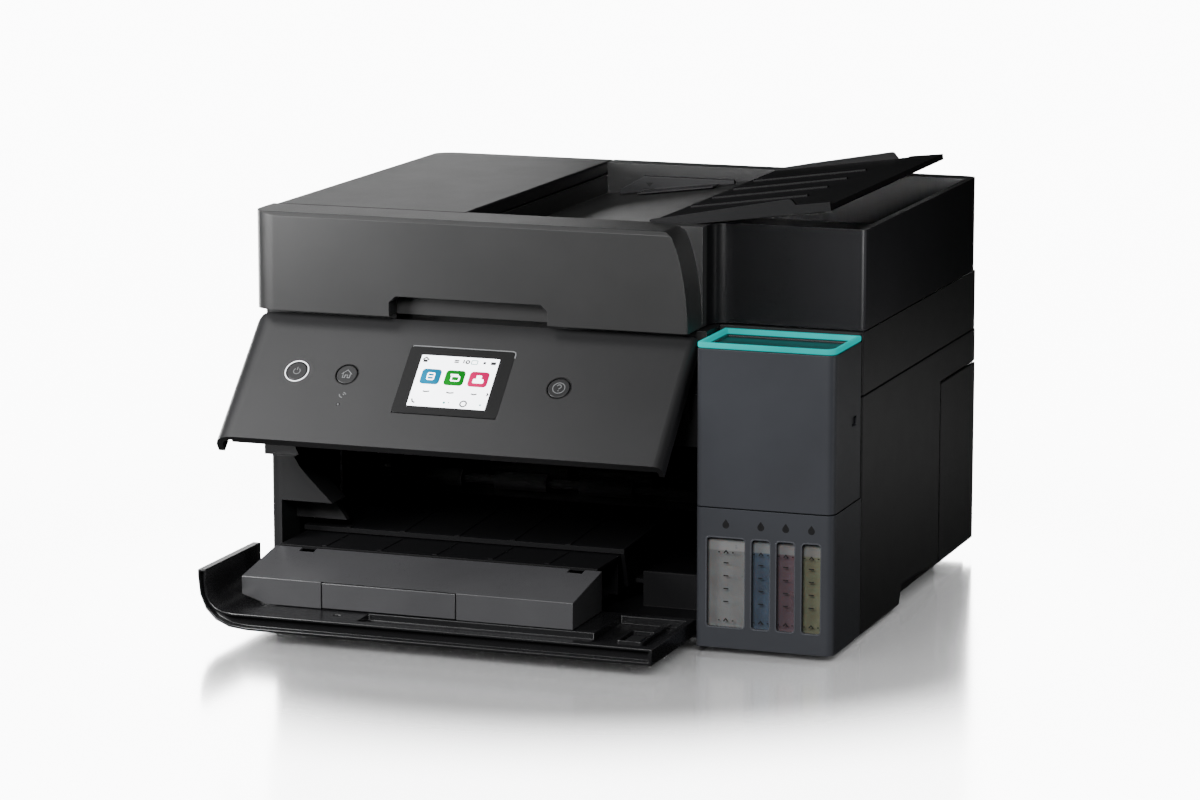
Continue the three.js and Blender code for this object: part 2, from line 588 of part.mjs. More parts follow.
function addFeederTray() {
  const tray = new THREE.Group();
  tray.position.set(TRAY_PIVOT.x, 0, TRAY_PIVOT.z);
  tray.rotation.y = THREE.MathUtils.degToRad(-TRAY_TILT);
  const y = [FEEDER_FRONT + 0.6, FEEDER_BACK - 0.6];
  const plate = block([1, TRAY_LENGTH], y, [-1.6, 2]);
  const tail = prismY([[89, -1.6], [TRAY_LENGTH, -1.2], [TRAY_LENGTH, 2], [89, 2.6]], y);
  const wallOutline = [
    [1, 1.5], [1, 3.2], [24, 4.4], [87, 7.4, 1.5], [89.5, 3.6], [TRAY_LENGTH, 3.4], [TRAY_LENGTH, 1.5],
  ];
  const wall = prismY(wallOutline, [y[0], y[0] + 3]);
  const backWall = prismY([[1, 1.5], [1, 3.2], [24, 4.4], [79, 6.4, 1.5], [82, 1.5]], [y[1] - 3, y[1]]);
  const ribs = [20, 60, 100, 140].map((at) => block([6, 78], [at - 20, at - 17], [1.5, 3]));
  part("adf_input_tray", join(plate, tail, wall, backWall, ...ribs), looks.cover(), tray);
  printer.add(tray);

  // Two edge guides stand on the sloping floor of the feeder.
  const slopeAt = (x) => 218.3 + (x - OPENING_LEFT) * 0.131;
  const guide = (y0, y1, yFlange) => join(
    prismY([
      [-46, slopeAt(-46)], [30, slopeAt(30)], [30, 232.6], [-30, 232.6], [-46, slopeAt(-46) + 3],
    ], [y0, y1]),
    prismY([
      [-30, slopeAt(-30)], [20, slopeAt(20)], [20, slopeAt(20) + 1.2], [-30, slopeAt(-30) + 1.2],
    ], yFlange),
  );
  part("adf_guide_front", guide(-46, -42, [-46, -30]), looks.panel());
  part("adf_guide_rear", guide(164, 168, [152, 168]), looks.panel());
}

// ---------------------------------------------------------------- control panel
function addControlPanel() {
  const panel = new THREE.Group();
  panel.position.set(0, PANEL_PIVOT.y, PANEL_PIVOT.z);
  panel.rotation.x = THREE.MathUtils.degToRad(-PANEL_TILT);
  // Seen along its height: a flat face whose left end turns back round the body's corner.
  const section = [
    [PANEL_LEFT, PANEL_RETURN], [PANEL_LEFT, -PANEL_FACE, 14], [PANEL_RIGHT, -PANEL_FACE, 5],
    [PANEL_RIGHT, 4], [PANEL_RIGHT - WALL, 4], [PANEL_RIGHT - WALL, -PANEL_FACE + WALL, 4],
    [PANEL_LEFT + 4, -PANEL_FACE + WALL, 10], [PANEL_LEFT + 4, PANEL_RETURN],
  ];
  const shell = prismZ(section, [-PANEL_BELOW, PANEL_ABOVE]);
  const lip = block(
    [PANEL_LEFT + 12, PANEL_RIGHT - 2], [-PANEL_FACE + 1, -0.5], [-PANEL_BELOW, -PANEL_BELOW + 3],
  );
  const topLeft = cut(
    block([PANEL_LEFT - 1, PANEL_LEFT + PANEL_CORNER], [-9, 12],
      [PANEL_ABOVE - PANEL_CORNER, PANEL_ABOVE + 1]),
    rodY(PANEL_CORNER, PANEL_LEFT + PANEL_CORNER, [-10, 13], PANEL_ABOVE - PANEL_CORNER, 40),
  );
  const screenHole = block(
    [DISPLAY.left, DISPLAY.right], [-9, 0], [DISPLAY.bottom, DISPLAY.top],
  );
  const keyHoles = BUTTONS.map(([, x, radius]) => rodY(radius + 0.5, x, [-9, 0], BUTTON_ROW, 24));
  const ledHole = rodY(1, -113.2, [-9, 0], -52, 10);
  const bosses = [
    block([-168, -165.4], [-PANEL_FACE + 1, 1.6], [-3, 3]),
    block([73, 76.5], [-PANEL_FACE + 1, 1.6], [-3, 3]),
  ];
  const clear = [-164, 82].map((x) => block([x - 0.5, x + 3.5], [-2.95, 9], [-20, 4]));
  part("control_panel", join(
    cut(shell, topLeft, screenHole, ledHole, ...keyHoles, ...clear), lip, ...bosses,
  ), looks.panel(), panel);
  part("display_module", join(
    block([DISPLAY.left + GAP, DISPLAY.right - GAP], [-PANEL_FACE + 0.2, -2.6],
      [DISPLAY.bottom + GAP, DISPLAY.top - GAP]),
    block([DISPLAY.left - 4, DISPLAY.right + 4], [-2.65, 3], [DISPLAY.bottom - 4, DISPLAY.top + 4]),
  ), looks.screen(), panel);
  BUTTONS.forEach(([name, x, radius]) => {
    part(name, join(
      rodY(radius, x, [-PANEL_FACE - 0.1, -2.4], BUTTON_ROW, 24), rodY(2, x, [-2.6, 1], BUTTON_ROW, 10),
    ), looks.key(), panel);
  });
  printer.add(panel);
}

addBaseChassis();
addFeet();
addSideCovers();
addRearCover();
addDuplexUnit();
addFrontFrame();
addOutputDeck();
addCassette();
addFlap();
addSlidingTray();
printer.add(cassette);
addEngine();
addElectronics();
addTankUnit();
addScanner();
addLid();
addFeederTray();
addControlPanel();

const centre = new THREE.Box3().setFromObject(printer).getCenter(new THREE.Vector3());
printer.position.set(-centre.x, -centre.y, 0);

export default printer;
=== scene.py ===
"""Looks of the all-in-one ink-tank printer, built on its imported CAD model.

Lengths are written in millimetres in the machine's own layout (x = 0 near the middle of the body, z = 0 on
the table, the front faces -Y). at() puts them into the shared frame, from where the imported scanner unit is.
Lamps and the floor are placed in metres in the shared frame.
"""

import json
import math

import bmesh
import bpy
from mathutils import Matrix, Vector

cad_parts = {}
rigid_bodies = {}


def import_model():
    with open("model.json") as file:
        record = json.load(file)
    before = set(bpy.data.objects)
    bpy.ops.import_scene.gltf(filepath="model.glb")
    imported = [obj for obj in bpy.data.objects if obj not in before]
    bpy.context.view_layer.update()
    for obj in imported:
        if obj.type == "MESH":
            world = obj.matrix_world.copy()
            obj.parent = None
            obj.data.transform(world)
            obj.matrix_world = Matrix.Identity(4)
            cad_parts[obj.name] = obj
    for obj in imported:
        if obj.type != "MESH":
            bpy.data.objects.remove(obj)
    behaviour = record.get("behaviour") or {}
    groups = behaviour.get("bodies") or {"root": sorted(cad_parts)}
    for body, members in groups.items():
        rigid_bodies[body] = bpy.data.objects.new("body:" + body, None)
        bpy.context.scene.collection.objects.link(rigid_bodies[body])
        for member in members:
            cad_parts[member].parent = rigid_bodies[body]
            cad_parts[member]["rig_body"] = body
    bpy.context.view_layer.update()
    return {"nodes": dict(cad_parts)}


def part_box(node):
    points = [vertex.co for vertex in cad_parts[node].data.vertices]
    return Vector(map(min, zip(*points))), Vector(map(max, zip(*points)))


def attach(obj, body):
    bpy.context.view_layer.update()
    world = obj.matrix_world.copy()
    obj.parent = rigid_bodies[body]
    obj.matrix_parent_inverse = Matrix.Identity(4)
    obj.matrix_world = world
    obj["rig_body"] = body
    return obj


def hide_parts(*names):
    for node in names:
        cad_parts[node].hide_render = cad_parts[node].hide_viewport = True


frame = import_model()

MM = 0.001
RIGHT = 178.3  # the body's right side
REAR = 195.5  # and its back
_, scanner_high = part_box("scanner_base")
ORIGIN = Vector((scanner_high.x - RIGHT * MM, scanner_high.y - REAR * MM, 0))

PANEL_PIVOT = (0, -90, 166)
PANEL_TILT = 45
PANEL_FACE = 6
KEY_ROW = -31
TANK_FRONT = -109
KEYS = {"power_button": (-145.3, 6.2), "home_button": (-113.8, 6.4), "help_button": (17.0, 6.6)}
WINDOWS = {
    "black": (103.6, 126.2), "cyan": (130.2, 141.1), "magenta": (145.0, 155.7), "yellow": (160.0, 171.0),
}
WINDOW_MIDDLE = 41  # height of the windows' middle
WINDOW_HEIGHT = 53
INK_LEVEL = 59
DROP_HEIGHT = 74.5  # of the marks over the windows
POCKET_FLOOR = 10.5  # height of the flap's pocket, open
LENS = 128.16
CAMERA_AZIMUTH, CAMERA_ELEVATION = 19.82, 10.59  # degrees
CAMERA_DISTANCE = 2.5463  # metres, from the point it looks at
CAMERA_HEIGHT = 120  # of that point, in millimetres


def at(x, y, z):
    return ORIGIN + Vector((x, y, z)) * MM


def body_of_node(node):
    return frame["nodes"][node]["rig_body"]


# ---------------------------------------------------------------- places to draw on
# Each is a matrix from (across, up, out of the surface) in millimetres to the row frame.
def facing(origin, across, up):
    u = Vector(across).normalized()
    v = Vector(up).normalized()
    w = u.cross(v)
    m = Matrix((u, v, w)).transposed().to_4x4()
    m.translation = origin
    return m @ Matrix.Scale(MM, 4)


TILT = Matrix.Rotation(math.radians(-PANEL_TILT), 4, "X")


def panel_point(x, out, up):
    return at(*PANEL_PIVOT) + TILT @ (Vector((x, -PANEL_FACE - out, up)) * MM)


def on_panel(x, up, out=0.0):
    return facing(panel_point(x, out, up), (1, 0, 0), TILT @ Vector((0, 0, 1)))


def on_front(x, y, z):
    return facing(at(x, y, z), (1, 0, 0), (0, 0, 1))


def on_rear(x, y, z):
    return facing(at(x, y, z), (-1, 0, 0), (0, 0, 1))


def on_top(x, y, z):
    return facing(at(x, y, z), (1, 0, 0), (0, 1, 0))


# ---------------------------------------------------------------- materials
def new_material(name):
    material = bpy.data.materials.new(name)
    material.use_nodes = True
    tree = material.node_tree
    tree.nodes.clear()
    output = tree.nodes.new("ShaderNodeOutputMaterial")
    shader = tree.nodes.new("ShaderNodeBsdfPrincipled")
    tree.links.new(shader.outputs["BSDF"], output.inputs["Surface"])
    return material, tree, shader


def object_coordinates(tree, stretch=(1, 1, 1)):
    source = tree.nodes.new("ShaderNodeTexCoord")
    mapping = tree.nodes.new("ShaderNodeMapping")
    mapping.inputs["Scale"].default_value = stretch
    tree.links.new(source.outputs["Object"], mapping.inputs["Vector"])
    return mapping.outputs["Vector"]


def noise(tree, vector, scale, detail=3.0, rough=0.55):
    node = tree.nodes.new("ShaderNodeTexNoise")
    node.inputs["Scale"].default_value = scale
    node.inputs["Detail"].default_value = detail
    node.inputs["Roughness"].default_value = rough
    tree.links.new(vector, node.inputs["Vector"])
    return node.outputs["Fac"]


def remap(tree, value, low, high, to_low, to_high):
    node = tree.nodes.new("ShaderNodeMapRange")
    node.inputs["From Min"].default_value = low
    node.inputs["From Max"].default_value = high
    node.inputs["To Min"].default_value = to_low
    node.inputs["To Max"].default_value = to_high
    tree.links.new(value, node.inputs["Value"])
    return node.outputs["Result"]


def blend_colour(tree, fac, a, b):
    node = tree.nodes.new("ShaderNodeMix")
    node.data_type = "RGBA"
    for socket, value in ((node.inputs[6], a), (node.inputs[7], b)):
        if isinstance(value, bpy.types.NodeSocket):
            tree.links.new(value, socket)
        else:
            socket.default_value = (*value, 1)
    tree.links.new(fac, node.inputs["Factor"])
    return node.outputs[2]


def arithmetic(tree, operation, a, b=None):
    node = tree.nodes.new("ShaderNodeMath")
    node.operation = operation
    for socket, value in zip(node.inputs, (a, b)):
        if isinstance(value, bpy.types.NodeSocket):
            tree.links.new(value, socket)
        elif value is not None:
            socket.default_value = value
    return node.outputs[0]


def bump(tree, shader, height, strength, distance):
    node = tree.nodes.new("ShaderNodeBump")
    node.inputs["Strength"].default_value = strength
    node.inputs["Distance"].default_value = distance
    tree.links.new(height, node.inputs["Height"])
    tree.links.new(node.outputs["Normal"], shader.inputs["Normal"])
    return node


def edge_mask(tree, vector, radius):
    """1 on edges paled by rubbing and by a painted highlight: where a rounded normal leaves the real one,
    broken up by a noise.
    """
    rounded = tree.nodes.new("ShaderNodeBevel")
    rounded.samples = 4
    rounded.inputs["Radius"].default_value = radius
    real = tree.nodes.new("ShaderNodeNewGeometry")
    dot = tree.nodes.new("ShaderNodeVectorMath")
    dot.operation = "DOT_PRODUCT"
    tree.links.new(rounded.outputs["Normal"], dot.inputs[0])
    tree.links.new(real.outputs["Normal"], dot.inputs[1])
    edge = remap(tree, dot.outputs["Value"], 0.97, 0.8, 0, 1)
    patches = remap(tree, noise(tree, vector, 90), 0.35, 0.7, 0.15, 1)
    return arithmetic(tree, "MULTIPLY", edge, patches)


def moulded(name, colour, rough=0.45, grain=0.45, relief=0.25, stretch=(1, 1, 1), edge_wear_and_highlight=0.5, specular=0.5):
    """Injection-moulded plastic: spark-eroded grain, patchy gloss, faint handling marks and paler edges,
    partly rubbed and partly a painted highlight.
    """
    material, tree, shader = new_material(name)
    vector = object_coordinates(tree)
    grain_vector = object_coordinates(tree, stretch)
    tone = noise(tree, vector, 14, 4)
    darker = [c * 0.88 for c in colour]
    paler = [c * 1.12 for c in colour]
    base = blend_colour(tree, remap(tree, tone, 0.3, 0.7, 0, 1), darker, paler)
    # every edge paler: partly rubbed plastic, partly a painted edge highlight
    if edge_wear_and_highlight:
        mask = edge_mask(tree, vector, 0.0007)
        worn_and_highlit = [min(1, c * 1.7 + 0.012) for c in colour]
        base = blend_colour(tree, arithmetic(tree, "MULTIPLY", mask, edge_wear_and_highlight), base, worn_and_highlit)
    tree.links.new(base, shader.inputs["Base Color"])
    smudge = noise(tree, vector, 38, 5, 0.65)
    fine = noise(tree, grain_vector, 1000 / grain, 2)
    gloss = arithmetic(tree, "ADD", remap(tree, smudge, 0.3, 0.7, rough - 0.01, rough + 0.015),
                       remap(tree, fine, 0.3, 0.7, -0.03, 0.03))
    tree.links.new(gloss, shader.inputs["Roughness"])
    bump(tree, shader, fine, relief, 0.00006)
    shader.inputs["Specular IOR Level"].default_value = specular
    return material


def sheet_metal(name, colour=(0.55, 0.56, 0.57), rough=0.35):
    """Galvanised sheet: drawn lines and patchy spangle."""
    material, tree, shader = new_material(name)
    vector = object_coordinates(tree)
    spangle = tree.nodes.new("ShaderNodeTexVoronoi")
    spangle.inputs["Scale"].default_value = 160
    tree.links.new(vector, spangle.inputs["Vector"])
    tone = remap(tree, spangle.outputs["Distance"], 0, 0.8, 0, 1)
    base = blend_colour(tree, tone, [c * 0.82 for c in colour], colour)
    tree.links.new(base, shader.inputs["Base Color"])
    lines = noise(tree, object_coordinates(tree, (1, 30, 30)), 60, 3)
    tree.links.new(remap(tree, lines, 0.3, 0.7, rough - 0.08, rough + 0.1), shader.inputs["Roughness"])
    bump(tree, shader, lines, 0.12, 0.00005)
    shader.inputs["Metallic"].default_value = 1
    return material


def rubbery(name, colour=(0.012, 0.012, 0.013), rough=0.8):
    material, tree, shader = new_material(name)
    vector = object_coordinates(tree)
    dust = noise(tree, vector, 70, 5, 0.7)
    dusty = [c * 2.2 + 0.01 for c in colour]
    base = blend_colour(tree, remap(tree, dust, 0.45, 0.75, 0, 0.6), colour, dusty)
    tree.links.new(base, shader.inputs["Base Color"])
    tree.links.new(remap(tree, dust, 0.3, 0.7, rough - 0.08, rough + 0.08), shader.inputs["Roughness"])
    bump(tree, shader, noise(tree, vector, 1500, 3), 0.35, 0.00008)
    return material


def circuit_board(name):
    """Green board with copper tracks under the lacquer."""
    material, tree, shader = new_material(name)
    vector = object_coordinates(tree)
    brick = tree.nodes.new("ShaderNodeTexBrick")
    brick.inputs["Scale"].default_value = 90
    brick.inputs["Mortar Size"].default_value = 0.03
    brick.inputs["Color1"].default_value = (0.008, 0.09, 0.04, 1)
    brick.inputs["Color2"].default_value = (0.01, 0.12, 0.05, 1)
    brick.inputs["Mortar"].default_value = (0.03, 0.2, 0.09, 1)
    swapped = tree.nodes.new("ShaderNodeMapping")
    swapped.inputs["Rotation"].default_value = (0, math.pi / 2, 0)
    tree.links.new(vector, swapped.inputs["Vector"])
    tree.links.new(swapped.outputs["Vector"], brick.inputs["Vector"])
    tree.links.new(brick.outputs["Color"], shader.inputs["Base Color"])
    tree.links.new(remap(tree, noise(tree, vector, 200), 0.3, 0.7, 0.25, 0.4), shader.inputs["Roughness"])
    bump(tree, shader, brick.outputs["Fac"], 0.2, 0.0001)
    return material


def ink_tank(name, ink, clear, level):
    """Translucent tank: frosted and pale above the ink's level, coloured below it."""
    material, tree, shader = new_material(name)
    vector = object_coordinates(tree)
    split = tree.nodes.new("ShaderNodeSeparateXYZ")
    tree.links.new(vector, split.inputs["Vector"])
    ripple = remap(tree, noise(tree, vector, 120, 2), 0, 1, -0.0004, 0.0004)
    height = arithmetic(tree, "ADD", split.outputs["Z"], ripple)
    filled = remap(tree, height, level * MM + 0.0003, level * MM - 0.0003, 0, 1)
    cloudy = noise(tree, vector, 60, 4)
    darker = [c * 0.85 for c in ink]
    paler = [c * 1.15 for c in ink]
    tint = blend_colour(tree, remap(tree, cloudy, 0.3, 0.7, 0, 1), darker, paler)
    tree.links.new(blend_colour(tree, filled, clear, tint), shader.inputs["Base Color"])
    tree.links.new(remap(tree, cloudy, 0.3, 0.7, 0.25, 0.4), shader.inputs["Roughness"])
    bump(tree, shader, noise(tree, vector, 900, 2), 0.1, 0.00005)
    shader.inputs["Subsurface Weight"].default_value = 0.2
    shader.inputs["Subsurface Scale"].default_value = 0.002
    return material


def clear_glass(name, tint=(0.9, 0.95, 0.95), alpha=0.25, rough=0.03):
    material, tree, shader = new_material(name)
    vector = object_coordinates(tree)
    marks = noise(tree, vector, 45, 5, 0.7)
    tree.links.new(remap(tree, marks, 0.35, 0.8, rough, rough + 0.1), shader.inputs["Roughness"])
    base = blend_colour(tree, remap(tree, marks, 0.4, 0.8, 0, 1), tint, [c * 0.95 for c in tint])
    tree.links.new(base, shader.inputs["Base Color"])
    shader.inputs["Alpha"].default_value = alpha
    bump(tree, shader, marks, 0.02, 0.00005)
    return material


def glowing(name, colour, strength, shade=0.15, rough=0.3, specular=0.3):
    """Lit plastic or a lit screen: brightness drifts a little across it."""
    material, tree, shader = new_material(name)
    vector = object_coordinates(tree)
    drift = remap(tree, noise(tree, vector, 25, 2), 0.3, 0.7, 0, 1)
    dim = [c * (1 - shade) for c in colour]
    tree.links.new(blend_colour(tree, drift, dim, colour), shader.inputs["Emission Color"])
    shader.inputs["Emission Strength"].default_value = strength
    unlit = blend_colour(tree, drift, [c * 0.2 for c in colour], [c * 0.3 for c in colour])
    tree.links.new(unlit, shader.inputs["Base Color"])
    tree.links.new(remap(tree, drift, 0, 1, rough, rough + 0.1), shader.inputs["Roughness"])
    shader.inputs["Specular IOR Level"].default_value = specular
    bump(tree, shader, noise(tree, vector, 600, 2), 0.05, 0.00005)
    return material


def printed(name, colour, rough=0.5):
    """Pad-printed ink. Its pale and dark copies also paint the highlight on the display surround's edge and
    the shade in the screws' cross recesses and the sockets' hollows.
    """
    material, tree, shader = new_material(name)
    vector = object_coordinates(tree)
    speck = noise(tree, vector, 700, 3)
    base = blend_colour(tree, remap(tree, speck, 0.3, 0.7, 0, 1), [c * 0.85 for c in colour], colour)
    tree.links.new(base, shader.inputs["Base Color"])
    tree.links.new(remap(tree, speck, 0.3, 0.7, rough - 0.05, rough + 0.1), shader.inputs["Roughness"])
    shader.inputs["Specular IOR Level"].default_value = 0.2
    bump(tree, shader, speck, 0.1, 0.00003)
    return material


LINES = (0.35, 1, 1)  # grain drawn out across the machine, as on its front covers
LOOKS = {
    "housing": moulded("Charcoal moulding", (0.009, 0.009, 0.0095), 0.42, 0.5, 0.35, specular=0.3),
    "fascia": moulded("Fine lined moulding", (0.016, 0.016, 0.0162), 0.4, 0.35, 0.4, LINES, specular=0.3),
    "block": moulded("Smooth dark moulding", (0.0025, 0.0025, 0.0028), 0.3, 0.5, 0.15, specular=0.1),
    "cover": moulded("Satin cover", (0.009, 0.009, 0.0095), 0.4, 0.4, 0.3, specular=0.3),
    "panel": moulded("Panel moulding", (0.011, 0.011, 0.0115), 0.4, 0.35, 0.35, LINES, specular=0.3),
    "flap": moulded("Flap moulding", (0.006, 0.006, 0.0065), 0.26, 0.5, 0.15, specular=0.4),
    "support": moulded("Smoky moulding", (0.04, 0.04, 0.042), 0.3, 0.5, 0.12, specular=0.4),
    "tank": moulded("Slate moulding", (0.035, 0.037, 0.043), 0.42, 0.4, 0.3, specular=0.3),
    "tank_top": moulded("Dark recess", (0.01, 0.0105, 0.012), 0.35, 0.4, 0.2),
    # also painted on the front frame's right part as shade
    "inner": moulded("Black inner moulding and painted shade", (0.003, 0.003, 0.0034), 0.55, 0.6, 0.3, edge_wear_and_highlight=0.2,
                     specular=0.12),
    "key": moulded("Key cap", (0.008, 0.008, 0.0085), 0.4, 0.35, 0.3, specular=0.25),
    "grey": moulded("Grey moulding", (0.16, 0.165, 0.17), 0.5, 0.5, 0.3),
    "tray": moulded("Tray moulding", (0.008, 0.008, 0.0085), 0.45, 0.4, 0.3, specular=0.15),
    "guide": moulded("Guide moulding", (0.012, 0.012, 0.013), 0.4, 0.5, 0.3, specular=0.3),
    "white": moulded("White moulding", (0.72, 0.72, 0.7), 0.5, 0.6, 0.2),
    "steel": sheet_metal("Galvanised sheet"),
    "rubber": rubbery("Rubber"),
    "board": circuit_board("Circuit board"),
    "glass": clear_glass("Float glass", (0.05, 0.06, 0.06), 0.22),
    "pane": clear_glass("Window pane", (0.03, 0.031, 0.032), 0.1, 0.1),
    "bezel": moulded("Display surround", (0.0025, 0.0025, 0.0027), 0.36, 0.35, 0.2, edge_wear_and_highlight=0.2,
                     specular=0.16),
    "groove": printed("Ring groove", (0.001, 0.001, 0.001)),
    "ring": glowing("Teal light guide", (0.0, 0.44, 0.42), 1.0, 0.2, specular=0.0),
    "lit_white": glowing("Lit white", (0.95, 0.97, 1.0), 2.2, 0.06),
    "screen_white": glowing("Screen ground", (0.94, 0.96, 1.0), 6.0, 0.04),
    "screen_blue": glowing("Screen blue", (0.0, 0.27, 0.5), 1.0, 0.1, specular=0.0),
    "screen_green": glowing("Screen green", (0.0, 0.26, 0.02), 1.0, 0.1, specular=0.0),
    "screen_pink": glowing("Screen pink", (0.75, 0.004, 0.13), 1.0, 0.1, specular=0.0),
    "screen_dark": glowing("Screen marks", (0.01, 0.011, 0.012), 1.0, 0.1),
    # the dark print also paints the shade in the screws' cross recesses and the sockets' hollows
    "dark_print_and_shade": printed("Dark print and painted shade", (0.004, 0.004, 0.0045)),
    # the pale print also paints the highlight along the display surround's edge
    "pale_print_and_highlight": printed("Pale print and painted highlight", (0.13, 0.133, 0.137)),
    "gold": sheet_metal("Contacts", (0.75, 0.6, 0.3), 0.25),
}
INKS = {
    "black": ((0.13, 0.13, 0.13), (0.19, 0.19, 0.19)),
    "cyan": ((0.045, 0.062, 0.09), (0.15, 0.155, 0.16)),
    "magenta": ((0.078, 0.05, 0.06), (0.15, 0.145, 0.146)),
    "yellow": ((0.105, 0.106, 0.066), (0.15, 0.15, 0.142)),
}
for ink, (wet, dry) in INKS.items():
    LOOKS["ink_" + ink] = ink_tank("Tank with " + ink + " ink", wet, dry, INK_LEVEL)


# ---------------------------------------------------------------- meshes
def add_object(name, bm, material, body):
    mesh = bpy.data.meshes.new(name)
    bm.normal_update()
    bm.to_mesh(mesh)
    bm.free()
    obj = bpy.data.objects.new(name, mesh)
    bpy.context.scene.collection.objects.link(obj)
    mesh.materials.append(LOOKS[material])
    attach(obj, body)
    return obj


def smooth(bm, sharp=35):
    limit = math.radians(sharp)
    for face in bm.faces:
        face.smooth = True
    for edge in bm.edges:
        edge.smooth = not (len(edge.link_faces) == 2 and edge.calc_face_angle(0) > limit)


def add_bevel(obj, width, segments, angle=35):
    bevel = obj.modifiers.new("Rounded edges", "BEVEL")
    bevel.width = width * MM
    bevel.segments = segments
    bevel.limit_method = "ANGLE"
    bevel.angle_limit = math.radians(angle)
    bevel.miter_outer = "MITER_ARC"
    flat = obj.modifiers.new("Flat faces", "WEIGHTED_NORMAL")
    flat.weight = 80
    flat.keep_sharp = True


def soften(node, material, width=0.6, segments=2, zone=None):
    """A copy of a CAD node with its flat faces merged and its edges rounded, standing for the node.

    A zone (material, test of a point in the machine's millimetres) takes part of it in a second material.
    """
    bm = bmesh.new()
    bm.from_mesh(frame["nodes"][node].data)
    bmesh.ops.remove_doubles(bm, verts=bm.verts, dist=0.00001)
    bmesh.ops.dissolve_limit(bm, angle_limit=math.radians(0.6), verts=bm.verts, edges=bm.edges)
    smooth(bm)
    obj = add_object("look_" + node, bm, material, body_of_node(node))
    if zone:
        obj.data.materials.append(LOOKS[zone[0]])
        for face in obj.data.polygons:
            face.material_index = int(zone[1]((face.center - ORIGIN) / MM))
    add_bevel(obj, width, segments)
    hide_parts(node)
    return obj


def rounded_outline(width, height, radius, steps=6):
    """Corners of a rounded rectangle about its centre, anticlockwise."""
    points = []
    for quarter, (sx, sy) in enumerate(((1, 1), (-1, 1), (-1, -1), (1, -1))):
        cx = sx * (width / 2 - radius)
        cy = sy * (height / 2 - radius)
        for i in range(steps + 1):
            angle = math.pi / 2 * (quarter + i / steps)
            points.append((cx + radius * math.cos(angle), cy + radius * math.sin(angle)))
    return points


def circle_outline(radius, steps=40, centre=(0, 0)):
    return [(centre[0] + radius * math.cos(2 * math.pi * i / steps),
             centre[1] + radius * math.sin(2 * math.pi * i / steps)) for i in range(steps)]


def fill_prism(bm, points, depth, place, base=0.0):
    """Adds a closed prism on an outline, from base to base + depth out of the surface."""
    lower = [bm.verts.new(place @ Vector((u, v, base))) for u, v in points]
    upper = [bm.verts.new(place @ Vector((u, v, base + depth))) for u, v in points]
    bm.faces.new(list(reversed(lower)))
    bm.faces.new(upper)
    count = len(points)
    for i in range(count):
        j = (i + 1) % count
        bm.faces.new((lower[i], lower[j], upper[j], upper[i]))


def fill_ring(bm, outer, inner, depth, place, base=0.0):
    """Adds a closed ring between two outlines with the same number of points."""
    loops = [[bm.verts.new(place @ Vector((u, v, w))) for u, v in points]
             for points, w in ((outer, base), (outer, base + depth), (inner, base + depth), (inner, base))]
    count = len(outer)
    for ring, after in zip(loops, loops[1:] + loops[:1]):
        for i in range(count):
            j = (i + 1) % count
            bm.faces.new((ring[i], ring[j], after[j], after[i]))


def ribbon(points, width, closed=False):
    """Outline of a line of constant width along points; for a closed line, the outer and inner outlines."""
    count = len(points)
    left, right = [], []
    for i, p in enumerate(points):
        here = Vector(p)
        before = Vector(points[i - 1]) if (closed or i > 0) else None
        after = Vector(points[(i + 1) % count]) if (closed or i < count - 1) else None
        a = (here - before).normalized() if before else (after - here).normalized()
        b = (after - here).normalized() if after else a
        middle = (a + b).normalized()
        normal = Vector((-middle.y, middle.x))
        reach = width / 2 / max(0.5, normal.dot(Vector((-a.y, a.x))))
        left.append(tuple(here + normal * reach))
        right.append(tuple(here - normal * reach))
    if closed:
        return right, left
    return right + left[::-1]


def arc(radius, start, end, steps=16, centre=(0, 0)):
    return [(centre[0] + radius * math.cos(math.radians(start + (end - start) * i / steps)),
             centre[1] + radius * math.sin(math.radians(start + (end - start) * i / steps)))
            for i in range(steps + 1)]


def plate(name, points, depth, place, material, body, bevel=0.0):
    bm = bmesh.new()
    fill_prism(bm, points, depth, place)
    smooth(bm)
    obj = add_object(name, bm, material, body)
    if bevel:
        add_bevel(obj, bevel, 3)
    return obj


def ring_piece(name, outer, inner, depth, place, material, body, bevel=0.0):
    bm = bmesh.new()
    fill_ring(bm, outer, inner, depth, place)
    bmesh.ops.recalc_face_normals(bm, faces=bm.faces)
    smooth(bm)
    obj = add_object(name, bm, material, body)
    if bevel:
        add_bevel(obj, bevel, 2)
    return obj


def marks(name, place, material, body, lines=(), loops=(), solids=(), width=0.5, depth=0.08):
    """A printed or lit mark, or a painted highlight or painted shade: open lines, closed loops and filled
    shapes on one surface.
    """
    bm = bmesh.new()
    for line in lines:
        fill_prism(bm, ribbon(line, width), depth, place)
    for loop in loops:
        outer, inner = ribbon(loop, width, closed=True)
        fill_ring(bm, outer, inner, depth, place)
    for shape in solids:
        fill_prism(bm, shape, depth, place)
    bmesh.ops.recalc_face_normals(bm, faces=bm.faces)
    return add_object(name, bm, material, body)


def box_outline(u0, u1, v0, v1):
    return [(u0, v0), (u1, v0), (u1, v1), (u0, v1)]


def moved(points, du, dv):
    return [(u + du, v + dv) for u, v in points]


